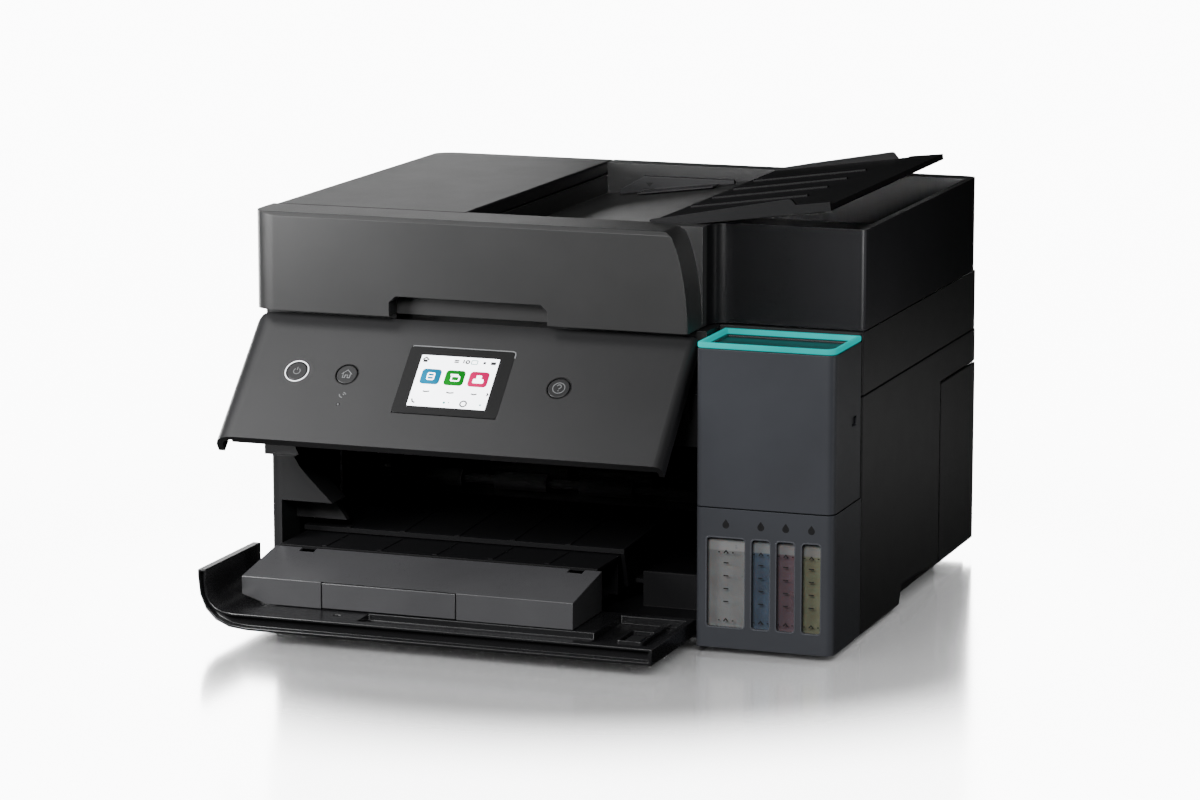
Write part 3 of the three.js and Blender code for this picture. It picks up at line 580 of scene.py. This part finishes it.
# ---------------------------------------------------------------- the CAD pieces' finishes
SOFTENED = {
    "left_side_cover": ("housing", 0.8), "right_side_cover": ("housing", 0.9),
    "right_rear_panel": ("housing", 0.6), "rear_cover": ("housing", 0.5),
    "duplex_unit": ("inner", 0.8), "front_frame": ("housing", 0.9),
    "output_deck": ("inner", 0.4), "cassette_tub": ("inner", 0.5), "cassette_guide_left": ("grey", 0.4),
    "cassette_guide_right": ("grey", 0.4), "front_flap": ("flap", 1.0), "output_support": ("support", 0.6),
    "output_extension": ("support", 0.4), "sliding_tray": ("inner", 0.4), "print_platen": ("inner", 0.4),
    "print_carriage": ("inner", 0.8), "capping_station": ("grey", 0.5), "maintenance_box": ("grey", 0.8),
    "ac_inlet": ("inner", 0.5), "tank_housing": ("tank", 0.6), "tank_cover": ("tank", 1.2),
    "tank_light_ring": ("ring", 0.7), "scanner_base": ("housing", 0.9), "scan_carriage": ("inner", 0.5),
    "lid_body": ("fascia", 1.0), "adf_cover": ("cover", 1.0), "adf_input_tray": ("tray", 0.5),
    "adf_guide_front": ("guide", 0.4), "adf_guide_rear": ("guide", 0.4), "control_panel": ("panel", 1.1),
    "display_module": ("bezel", 0.3), "power_supply": ("steel", 0.4), "engine_frame": ("steel", 0.2),
    "base_chassis": ("inner", 0.4), "lid_pad": ("white", 0.5), "platen_glass": ("glass", 0.15),
}
ZONES = {
    # the front frame right of x = 85, between the paper bay and the ink tanks, takes the black inner moulding
    # as painted shade
    "lid_body": ("block", lambda p: p.x > 87.6), "front_frame": ("inner", lambda p: p.x > 85),
    "tank_cover": ("tank_top", lambda p: p.z > 173.5 and TANK_FRONT + 2.8 < p.y),
}
for node, (material, width) in SOFTENED.items():
    soften(node, material, width, zone=ZONES.get(node))
for node in KEYS:
    soften(node, "key", 0.5, 3)
for ink in WINDOWS:
    soften("ink_tank_" + ink, "ink_" + ink, 0.5)
    soften("tank_cap_" + ink, "key", 0.5)
for node, material in {
    "carriage_belt": "rubber", "belt_pulley": "steel", "carriage_motor": "steel", "feed_motor": "steel",
    "feed_roller": "rubber", "exit_roller": "rubber", "idler_gear": "white", "mainboard": "board",
    "adf_feed_roller": "rubber", "foot_front_left": "rubber", "foot_front_right": "rubber",
    "foot_rear_left": "rubber", "foot_rear_right": "rubber",
}.items():
    data = frame["nodes"][node].data
    data.materials.clear()
    data.materials.append(LOOKS[material])

# ---------------------------------------------------------------- control panel
PANEL = "control_panel"
power_x = KEYS["power_button"][0]
home_x = KEYS["home_button"][0]
help_x = KEYS["help_button"][0]
CAP = 0.1  # the keys stand this far out of the panel

ring_piece("power_ring", circle_outline(7.4, 48), circle_outline(6.75, 48), 0.3,
           on_panel(power_x, KEY_ROW), "lit_white", PANEL, 0.1)
for name, x, radius in (("home_ring", home_x, 7.3), ("help_ring", help_x, 7.6)):
    ring_piece(name, circle_outline(radius, 48), circle_outline(radius - 0.45, 48), 0.12,
               on_panel(x, KEY_ROW), "groove", PANEL)
marks("power_mark", on_panel(power_x, KEY_ROW, CAP), "pale_print_and_highlight", "power_button",
      lines=[arc(2.0, 125, 415, 20), [(0, 0.8), (0, 2.9)]], width=0.45)
marks("home_mark", on_panel(home_x, KEY_ROW, CAP), "pale_print_and_highlight", "home_button",
      lines=[[(-3.2, 0.1), (0, 3.0), (3.2, 0.1)],
             [(-2.2, 0.6), (-2.2, -2.4), (-0.8, -2.4), (-0.8, -0.6),
              (0.8, -0.6), (0.8, -2.4), (2.2, -2.4), (2.2, 0.6)]],
      width=0.45)
marks("help_mark", on_panel(help_x, KEY_ROW, CAP), "pale_print_and_highlight", "help_button",
      lines=[arc(1.25, 170, -60, 12, (0, 1.0)) + [(0, -0.8)]], loops=[circle_outline(3.6, 36)],
      solids=[circle_outline(0.32, 12, (0, -1.9))], width=0.45)
marks("line_mark", on_panel(-112.8, -46.5), "pale_print_and_highlight", PANEL,
      lines=[arc(2.1, 180, 270, 8, (0.6, 1.4)), arc(1.1, 20, 80, 6, (0.3, 0.6)),
             arc(2.2, 20, 80, 6, (0.3, 0.6))],
      width=0.5)
plate("line_lamp", circle_outline(0.6, 16), 0.3, on_panel(-113.2, -52, -0.25), "pale_print_and_highlight", PANEL)

SCREEN_X, SCREEN_UP = -47.3, -31.8  # middle of the lit screen
SCREEN_W, SCREEN_H = 48.0, 35.6
surround = on_panel(SCREEN_X, -31.5, -0.4)
plate("display_surround", rounded_outline(65.0, 46.8, 2.6), 0.5, surround, "bezel", PANEL, 0.2)
# a pale line along the surround's top and right edges: a painted highlight where the raised edge catches the
# light
glint = surround @ Matrix.Translation((0, 0, 0.35))
marks("display_edge_painted_highlight", glint, "pale_print_and_highlight", PANEL, width=0.7, depth=0.25,
      lines=[[(-31.6, 22.9), (-30.4, 23.5), (30.6, 23.5), (32.1, 22.9), (32.6, 21.4), (32.6, 19.0)]])
screen = on_panel(SCREEN_X, SCREEN_UP, 0.1)
plate("screen_ground", rounded_outline(SCREEN_W, SCREEN_H, 0.5, 3), 0.06, screen, "screen_white", PANEL)
layer = screen @ Matrix.Translation((0, 0, 0.06))
tile = rounded_outline(12.0, 10.6, 2.2)
TILES = (("first", -14.8, "screen_blue"), ("second", 0, "screen_green"), ("third", 14.7, "screen_pink"))
for name, u, colour in TILES:
    plate("tile_" + name, moved(tile, u, 3.0), 0.05, layer, colour, PANEL)
over = screen @ Matrix.Translation((0, 0, 0.11))
marks("tile_marks", over, "screen_white", PANEL, width=0.8, depth=0.05,
      loops=[moved(rounded_outline(4.0, 4.4, 0.6, 3), -14.8, 3.2),
             moved(rounded_outline(4.8, 3.2, 0.6, 3), 0.4, 2.6)],
      lines=[[(-16.2, 3.2), (-13.4, 3.2)], [(-2.6, 4.6), (-2.6, 5.2), (1.8, 5.2)]],
      solids=[moved(rounded_outline(6.6, 3.0, 0.8, 3), 14.7, 1.8),
              moved(rounded_outline(3.2, 2.6, 0.5, 3), 14.7, 4.5)])
marks("screen_marks", layer, "screen_dark", PANEL, width=0.9, depth=0.05,
      lines=[[(-22.9, 14.4), (-20.9, 16.2), (-18.9, 14.4)],
             [(-3.2, 15.2), (-0.4, 15.2)], [(-3.2, 14.0), (-0.4, 14.0)],
             [(-16.8, -7.2), (-15.6, -7.6), (-12.8, -7.2)], [(-2.4, -7.2), (-0.2, -7.6), (2.2, -7.2)],
             [(12.8, -7.2), (14.4, -7.6), (16.4, -7.2)],
             [(-22.0, -13.0), (-21.2, -15.0), (-19.6, -15.6)], [(22.4, -6.0), (23.2, -7.0), (22.4, -8.0)]],
      loops=[circle_outline(1.0, 16, (5.0, 14.6)), circle_outline(1.9, 20, (10.0, -14.4))],
      solids=[box_outline(-22.2, -19.6, 12.8, 14.6), box_outline(2.2, 3.0, 13.6, 16.0),
              box_outline(14.6, 16.2, 13.8, 15.4), box_outline(19.2, 22.4, 13.6, 15.6)])
marks("page_dots", layer, "ring", PANEL, depth=0.05, width=0.5,
      solids=[circle_outline(0.75, 14, (-1.8, -14.4)), circle_outline(0.4, 14, (1.0, -14.2)),
              circle_outline(0.6, 14, (20.4, -14.5))],
      loops=[moved(rounded_outline(3.6, 2.6, 0.4, 3), 9.2, 14.6)])

# ---------------------------------------------------------------- ink tanks
for ink, (left, right) in WINDOWS.items():
    middle = (left + right) / 2
    width = right - left
    place = on_front(middle, TANK_FRONT + 1.4, WINDOW_MIDDLE)
    pane = rounded_outline(width + 1.0, WINDOW_HEIGHT, 1.8)
    plate("pane_" + ink, pane, 0.6, place, "pane", "chassis", 0.15)
    rim = on_front(middle, TANK_FRONT + 0.2, WINDOW_MIDDLE)
    rim_outer = rounded_outline(width + 1.4, WINDOW_HEIGHT + 0.4, 2.6)
    rim_inner = rounded_outline(width - 0.2, WINDOW_HEIGHT - 1.2, 2.0)
    ring_piece("window_rim_" + ink, rim_outer, rim_inner, 0.35, rim, "tank", "chassis", 0.12)
    front = on_front(middle, TANK_FRONT + 0.8, 0)
    ticks = [[(-1.5, z), (1.5, z)] for z in (52.5, 45.0, 37.5, 30.0)]
    ends = [[(side * 3.6, z), (side * 4.6, z)] for z in (58.6, 19.0) for side in (-1, 1)]
    arrows = [[(-1.3, z), (0, z + 1.6), (1.3, z)] for z in (58.0, 18.4)]
    marks("level_marks_" + ink, front, "dark_print_and_shade", "chassis", lines=ticks + ends + arrows, width=0.65)
    drop = [(0, 3.4)] + arc(2.0, 30, -210, 14)
    marks("drop_" + ink, on_front(middle, TANK_FRONT, DROP_HEIGHT), "dark_print_and_shade", "chassis", solids=[drop])

# ---------------------------------------------------------------- the latch in the flap's pocket
ring_piece("flap_latch_well", rounded_outline(16, 26, 2.0), rounded_outline(13, 23, 1.2), 2.6,
           on_top(72, -138, POCKET_FLOOR), "flap", "flap", 0.3)
plate("flap_latch", rounded_outline(9, 14, 1.2), 1.8, on_top(72, -140, POCKET_FLOOR), "cover", "flap", 0.4)
plate("flap_latch_arm", rounded_outline(4, 26, 1.2), 2.2,
      on_top(78, -115, POCKET_FLOOR), "flap", "flap", 0.4)

# ---------------------------------------------------------------- coloured dots on the tank cover
DOTS = {
    "black": (0.3, 0.3, 0.3), "yellow": (0.7, 0.6, 0.05), "magenta": (0.6, 0.04, 0.2),
    "cyan": (0.02, 0.3, 0.6),
}
DOT_PITCH = 5
top_place = on_top(137.5, -84, 173.6)
for i, (ink, colour) in enumerate(DOTS.items()):
    LOOKS["dot_" + ink] = printed("Dot " + ink, colour)
    dot = circle_outline(1.2, 16, (-8 + DOT_PITCH * i, 0))
    marks("dot_" + ink, top_place, "dot_" + ink, "tank_cover", solids=[dot])

# ---------------------------------------------------------------- lid and feeder
marks("feed_mark", on_front(-26, 164, 227.2), "dark_print_and_shade", "adf_guide_rear",
      solids=[[(-2.6, 1.4), (2.6, 1.4), (0, -1.2)]], lines=[[(-4.2, -2.6), (4.2, -2.6)]], width=0.5)

# ---------------------------------------------------------------- rear
def socket(name, x, z, width, height, depth=0.8):
    place = on_rear(x, REAR, z)
    outer = rounded_outline(width + 3, height + 3, 1.0, 3)
    inner = rounded_outline(width, height, 0.4, 3)
    ring_piece(name + "_frame", outer, inner, depth, place, "steel", "chassis", 0.15)
    # a dark plate inside the frame paints the shade of the socket's hollow
    back = rounded_outline(width + 1, height + 1, 0.4, 3)
    plate(name + "_hollow_shade", back, 0.1, place, "dark_print_and_shade", "chassis")
    pitch = 1.6
    first = -width / 2 + 2
    contacts = [
        box_outline(first + i * pitch, first + 0.8 + i * pitch, height / 2 - 2.4, height / 2 - 0.4)
        for i in range(int((width - 3) / pitch))
    ]
    above = place @ Matrix.Translation((0, 0, 0.1))
    marks(name + "_contacts", above, "gold", "chassis", solids=contacts, depth=0.3)


def screw(name, place, body, radius=3.2):
    bm = bmesh.new()
    profile = [(radius, 0), (radius, 0.5), (radius * 0.72, 1.15), (radius * 0.3, 1.3)]
    sides = 24
    turns = [2 * math.pi * i / sides for i in range(sides)]
    rings = [
        [bm.verts.new(place @ Vector((r * math.cos(a), r * math.sin(a), w))) for a in turns]
        for r, w in profile
    ]
    for lower, upper in zip(rings, rings[1:]):
        for i in range(sides):
            j = (i + 1) % sides
            bm.faces.new((lower[i], lower[j], upper[j], upper[i]))
    bm.faces.new(list(reversed(rings[0])))
    bm.faces.new(rings[-1])
    smooth(bm, 40)
    add_object(name, bm, "steel", body)
    # a dark cross on the head paints the shade in its cross recess
    cross = [[(-radius * 0.55, 0), (radius * 0.55, 0)], [(0, -radius * 0.55), (0, radius * 0.55)]]
    slot_place = place @ Matrix.Translation((0, 0, 1.16))
    marks(name + "_cross_recess_shade", slot_place, "dark_print_and_shade", body, lines=cross, width=0.7, depth=0.2)


socket("usb_port", -146, 100, 12.5, 11)
socket("network_port", -146, 122, 14, 12)
for i, (x, z) in enumerate(((-168, 20), (168, 20), (-168, 134), (168, 134), (-120, 20), (60, 134))):
    screw("rear_screw_%d" % i, on_rear(x, REAR, z), "chassis")

# ---------------------------------------------------------------- studio
def receivers(name, objects, exclude=False):
    """A collection that light linking reads: only these objects are lit, or all others are."""
    collection = bpy.data.collections.new(name)
    for i, obj in enumerate(objects):
        collection.objects.link(obj)
        if exclude:
            collection.collection_objects[i].light_linking.link_state = "EXCLUDE"
    return collection


def add_area(name, location, target, size, size_y, power, lit=None, spread=180):
    light = bpy.data.lights.new(name, "AREA")
    light.shape = "RECTANGLE"
    light.size = size
    light.size_y = size_y
    light.energy = power
    light.spread = math.radians(spread)
    obj = bpy.data.objects.new(name, light)
    bpy.context.scene.collection.objects.link(obj)
    obj.location = location
    obj.rotation_euler = (Vector(target) - Vector(location)).to_track_quat("-Z", "Y").to_euler()
    obj.visible_camera = False
    obj.light_linking.receiver_collection = lit or all_but_floor


FLOOR_LIGHT = 12.0  # radiance of the white surroundings that only the floor sees
DOME_RADIUS = 22  # metres: every view's clipping distance reaches past it


def stage_mesh(name, bm, material, height=0.0):
    mesh = bpy.data.meshes.new(name)
    bm.to_mesh(mesh)
    bm.free()
    mesh.materials.append(material)
    obj = bpy.data.objects.new(name, mesh)
    bpy.context.scene.collection.objects.link(obj)
    obj.location.z = height
    return obj


def build_floor():
    """A pale floor, polished round the machine, below a white dome that lights the floor alone."""
    material, tree, shader = new_material("Pale floor")
    vector = object_coordinates(tree)
    away = tree.nodes.new("ShaderNodeVectorMath")
    away.operation = "LENGTH"
    tree.links.new(vector, away.inputs[0])
    polish = tree.nodes.new("ShaderNodeMapRange")
    polish.interpolation_type = "SMOOTHSTEP"
    for socket, value in (("From Min", 0.44), ("From Max", 0.27), ("To Min", 0.0), ("To Max", 0.93)):
        polish.inputs[socket].default_value = value
    tree.links.new(away.outputs["Value"], polish.inputs["Value"])
    tree.links.new(polish.outputs["Result"], shader.inputs["Metallic"])
    shader.inputs["Base Color"].default_value = (0.92, 0.92, 0.925, 1)
    tree.links.new(remap(tree, noise(tree, vector, 3), 0.3, 0.7, 0.13, 0.16), shader.inputs["Roughness"])
    bm = bmesh.new()
    bmesh.ops.create_circle(bm, cap_ends=True, segments=64, radius=DOME_RADIUS + 0.5)
    floor = stage_mesh("floor", bm, material, -0.0002)
    floor.visible_glossy = False
    floor.visible_diffuse = False

    white, tree, shader = new_material("White surroundings")
    shader.inputs["Base Color"].default_value = (0, 0, 0, 1)
    shader.inputs["Emission Color"].default_value = (1, 1, 1, 1)
    shader.inputs["Emission Strength"].default_value = FLOOR_LIGHT
    bm = bmesh.new()
    bmesh.ops.create_uvsphere(bm, u_segments=48, v_segments=24, radius=DOME_RADIUS)
    bmesh.ops.delete(bm, geom=[v for v in bm.verts if v.co.z < -0.5], context="VERTS")
    bmesh.ops.reverse_faces(bm, faces=bm.faces)
    dome = stage_mesh("dome", bm, white)
    dome.visible_shadow = False
    dome.light_linking.receiver_collection = receivers("lit by the dome", [floor])
    return floor


def build_world():
    """Soft room light from above and the left; dark on the right, as beside a black flag."""
    world = bpy.data.worlds.new("Studio")
    world.use_nodes = True
    tree = world.node_tree
    room = tree.nodes["Background"]
    room.inputs["Strength"].default_value = 1.0
    source = tree.nodes.new("ShaderNodeTexCoord")
    split = tree.nodes.new("ShaderNodeSeparateXYZ")
    tree.links.new(source.outputs["Generated"], split.inputs["Vector"])
    above = remap(tree, split.outputs["Z"], -0.05, 0.7, 0, 0.2)
    left = remap(tree, split.outputs["X"], -0.8, 0.2, 0.06, 0)
    amount = arithmetic(tree, "ADD", above, left)
    tree.links.new(blend_colour(tree, amount, (0.01, 0.01, 0.01), (1.0, 1.0, 1.0)), room.inputs["Color"])
    bpy.context.scene.world = world


def build_camera():
    data = bpy.data.cameras.new("camera")
    data.lens = LENS
    data.sensor_width = 36
    data.clip_end = 200
    camera = bpy.data.objects.new("camera", data)
    bpy.context.scene.collection.objects.link(camera)
    azimuth = math.radians(CAMERA_AZIMUTH)
    elevation = math.radians(CAMERA_ELEVATION)
    target = at(0, 0, CAMERA_HEIGHT)
    offset = Vector((
        math.sin(azimuth) * math.cos(elevation), -math.cos(azimuth) * math.cos(elevation),
        math.sin(elevation),
    ))
    camera.location = target + offset * CAMERA_DISTANCE
    camera.rotation_euler = (-offset).to_track_quat("-Z", "Y").to_euler()
    bpy.context.scene.camera = camera


floor = build_floor()
build_world()
build_camera()
looks = bpy.data.objects
tank_parts = [looks["look_tank_housing"], looks["look_tank_cover"]]
tray = looks["look_adf_input_tray"]
all_but_floor = receivers("all but the floor", [floor], exclude=True)
all_but_tank = receivers("all but the floor and the ink tanks", [floor, *tank_parts], exclude=True)
all_but_tray = receivers("all but the floor and the input tray", [floor, tray], exclude=True)
only_lid = receivers("the lid", [looks["look_lid_body"]])
add_area("left", (-0.42, -0.42, 0.30), (-0.12, -0.1, 0.2), 0.22, 0.22, 5.5, all_but_tank)
add_area("overhead", (-0.55, -0.35, 0.85), (-0.1, -0.15, 0.13), 0.5, 0.5, 4.0)
add_area("front", (0.1, -1.7, 1.0), (0.05, 0, 0.1), 0.8, 0.5, 50.0)
add_area("block", (0.34, -0.42, 0.28), (0.19, -0.05, 0.215), 0.08, 0.08, 0.4, only_lid, 30)
add_area("low right", (0.55, 0.45, 0.0), (0.18, 0.16, 0.04), 0.5, 0.1, 0.12)
add_area("back", (-1.34, 2.4, 0.5), (0, 0, 0.24), 0.87, 0.5, 4.3, all_but_tray)
# fills below the height of the lid's top, for the sides that the front lamps don't reach
add_area("left fill", (-0.85, 0.32, 0.12), (-0.18, 0.05, 0.12), 0.3, 0.18, 2.6)
add_area("rear fill", (-0.02, 0.95, 0.12), (-0.02, 0.19, 0.12), 0.3, 0.18, 3.2)
add_area("right fill", (1.5, -0.05, 0.12), (0.18, 0.05, 0.12), 0.5, 0.18, 2.6)
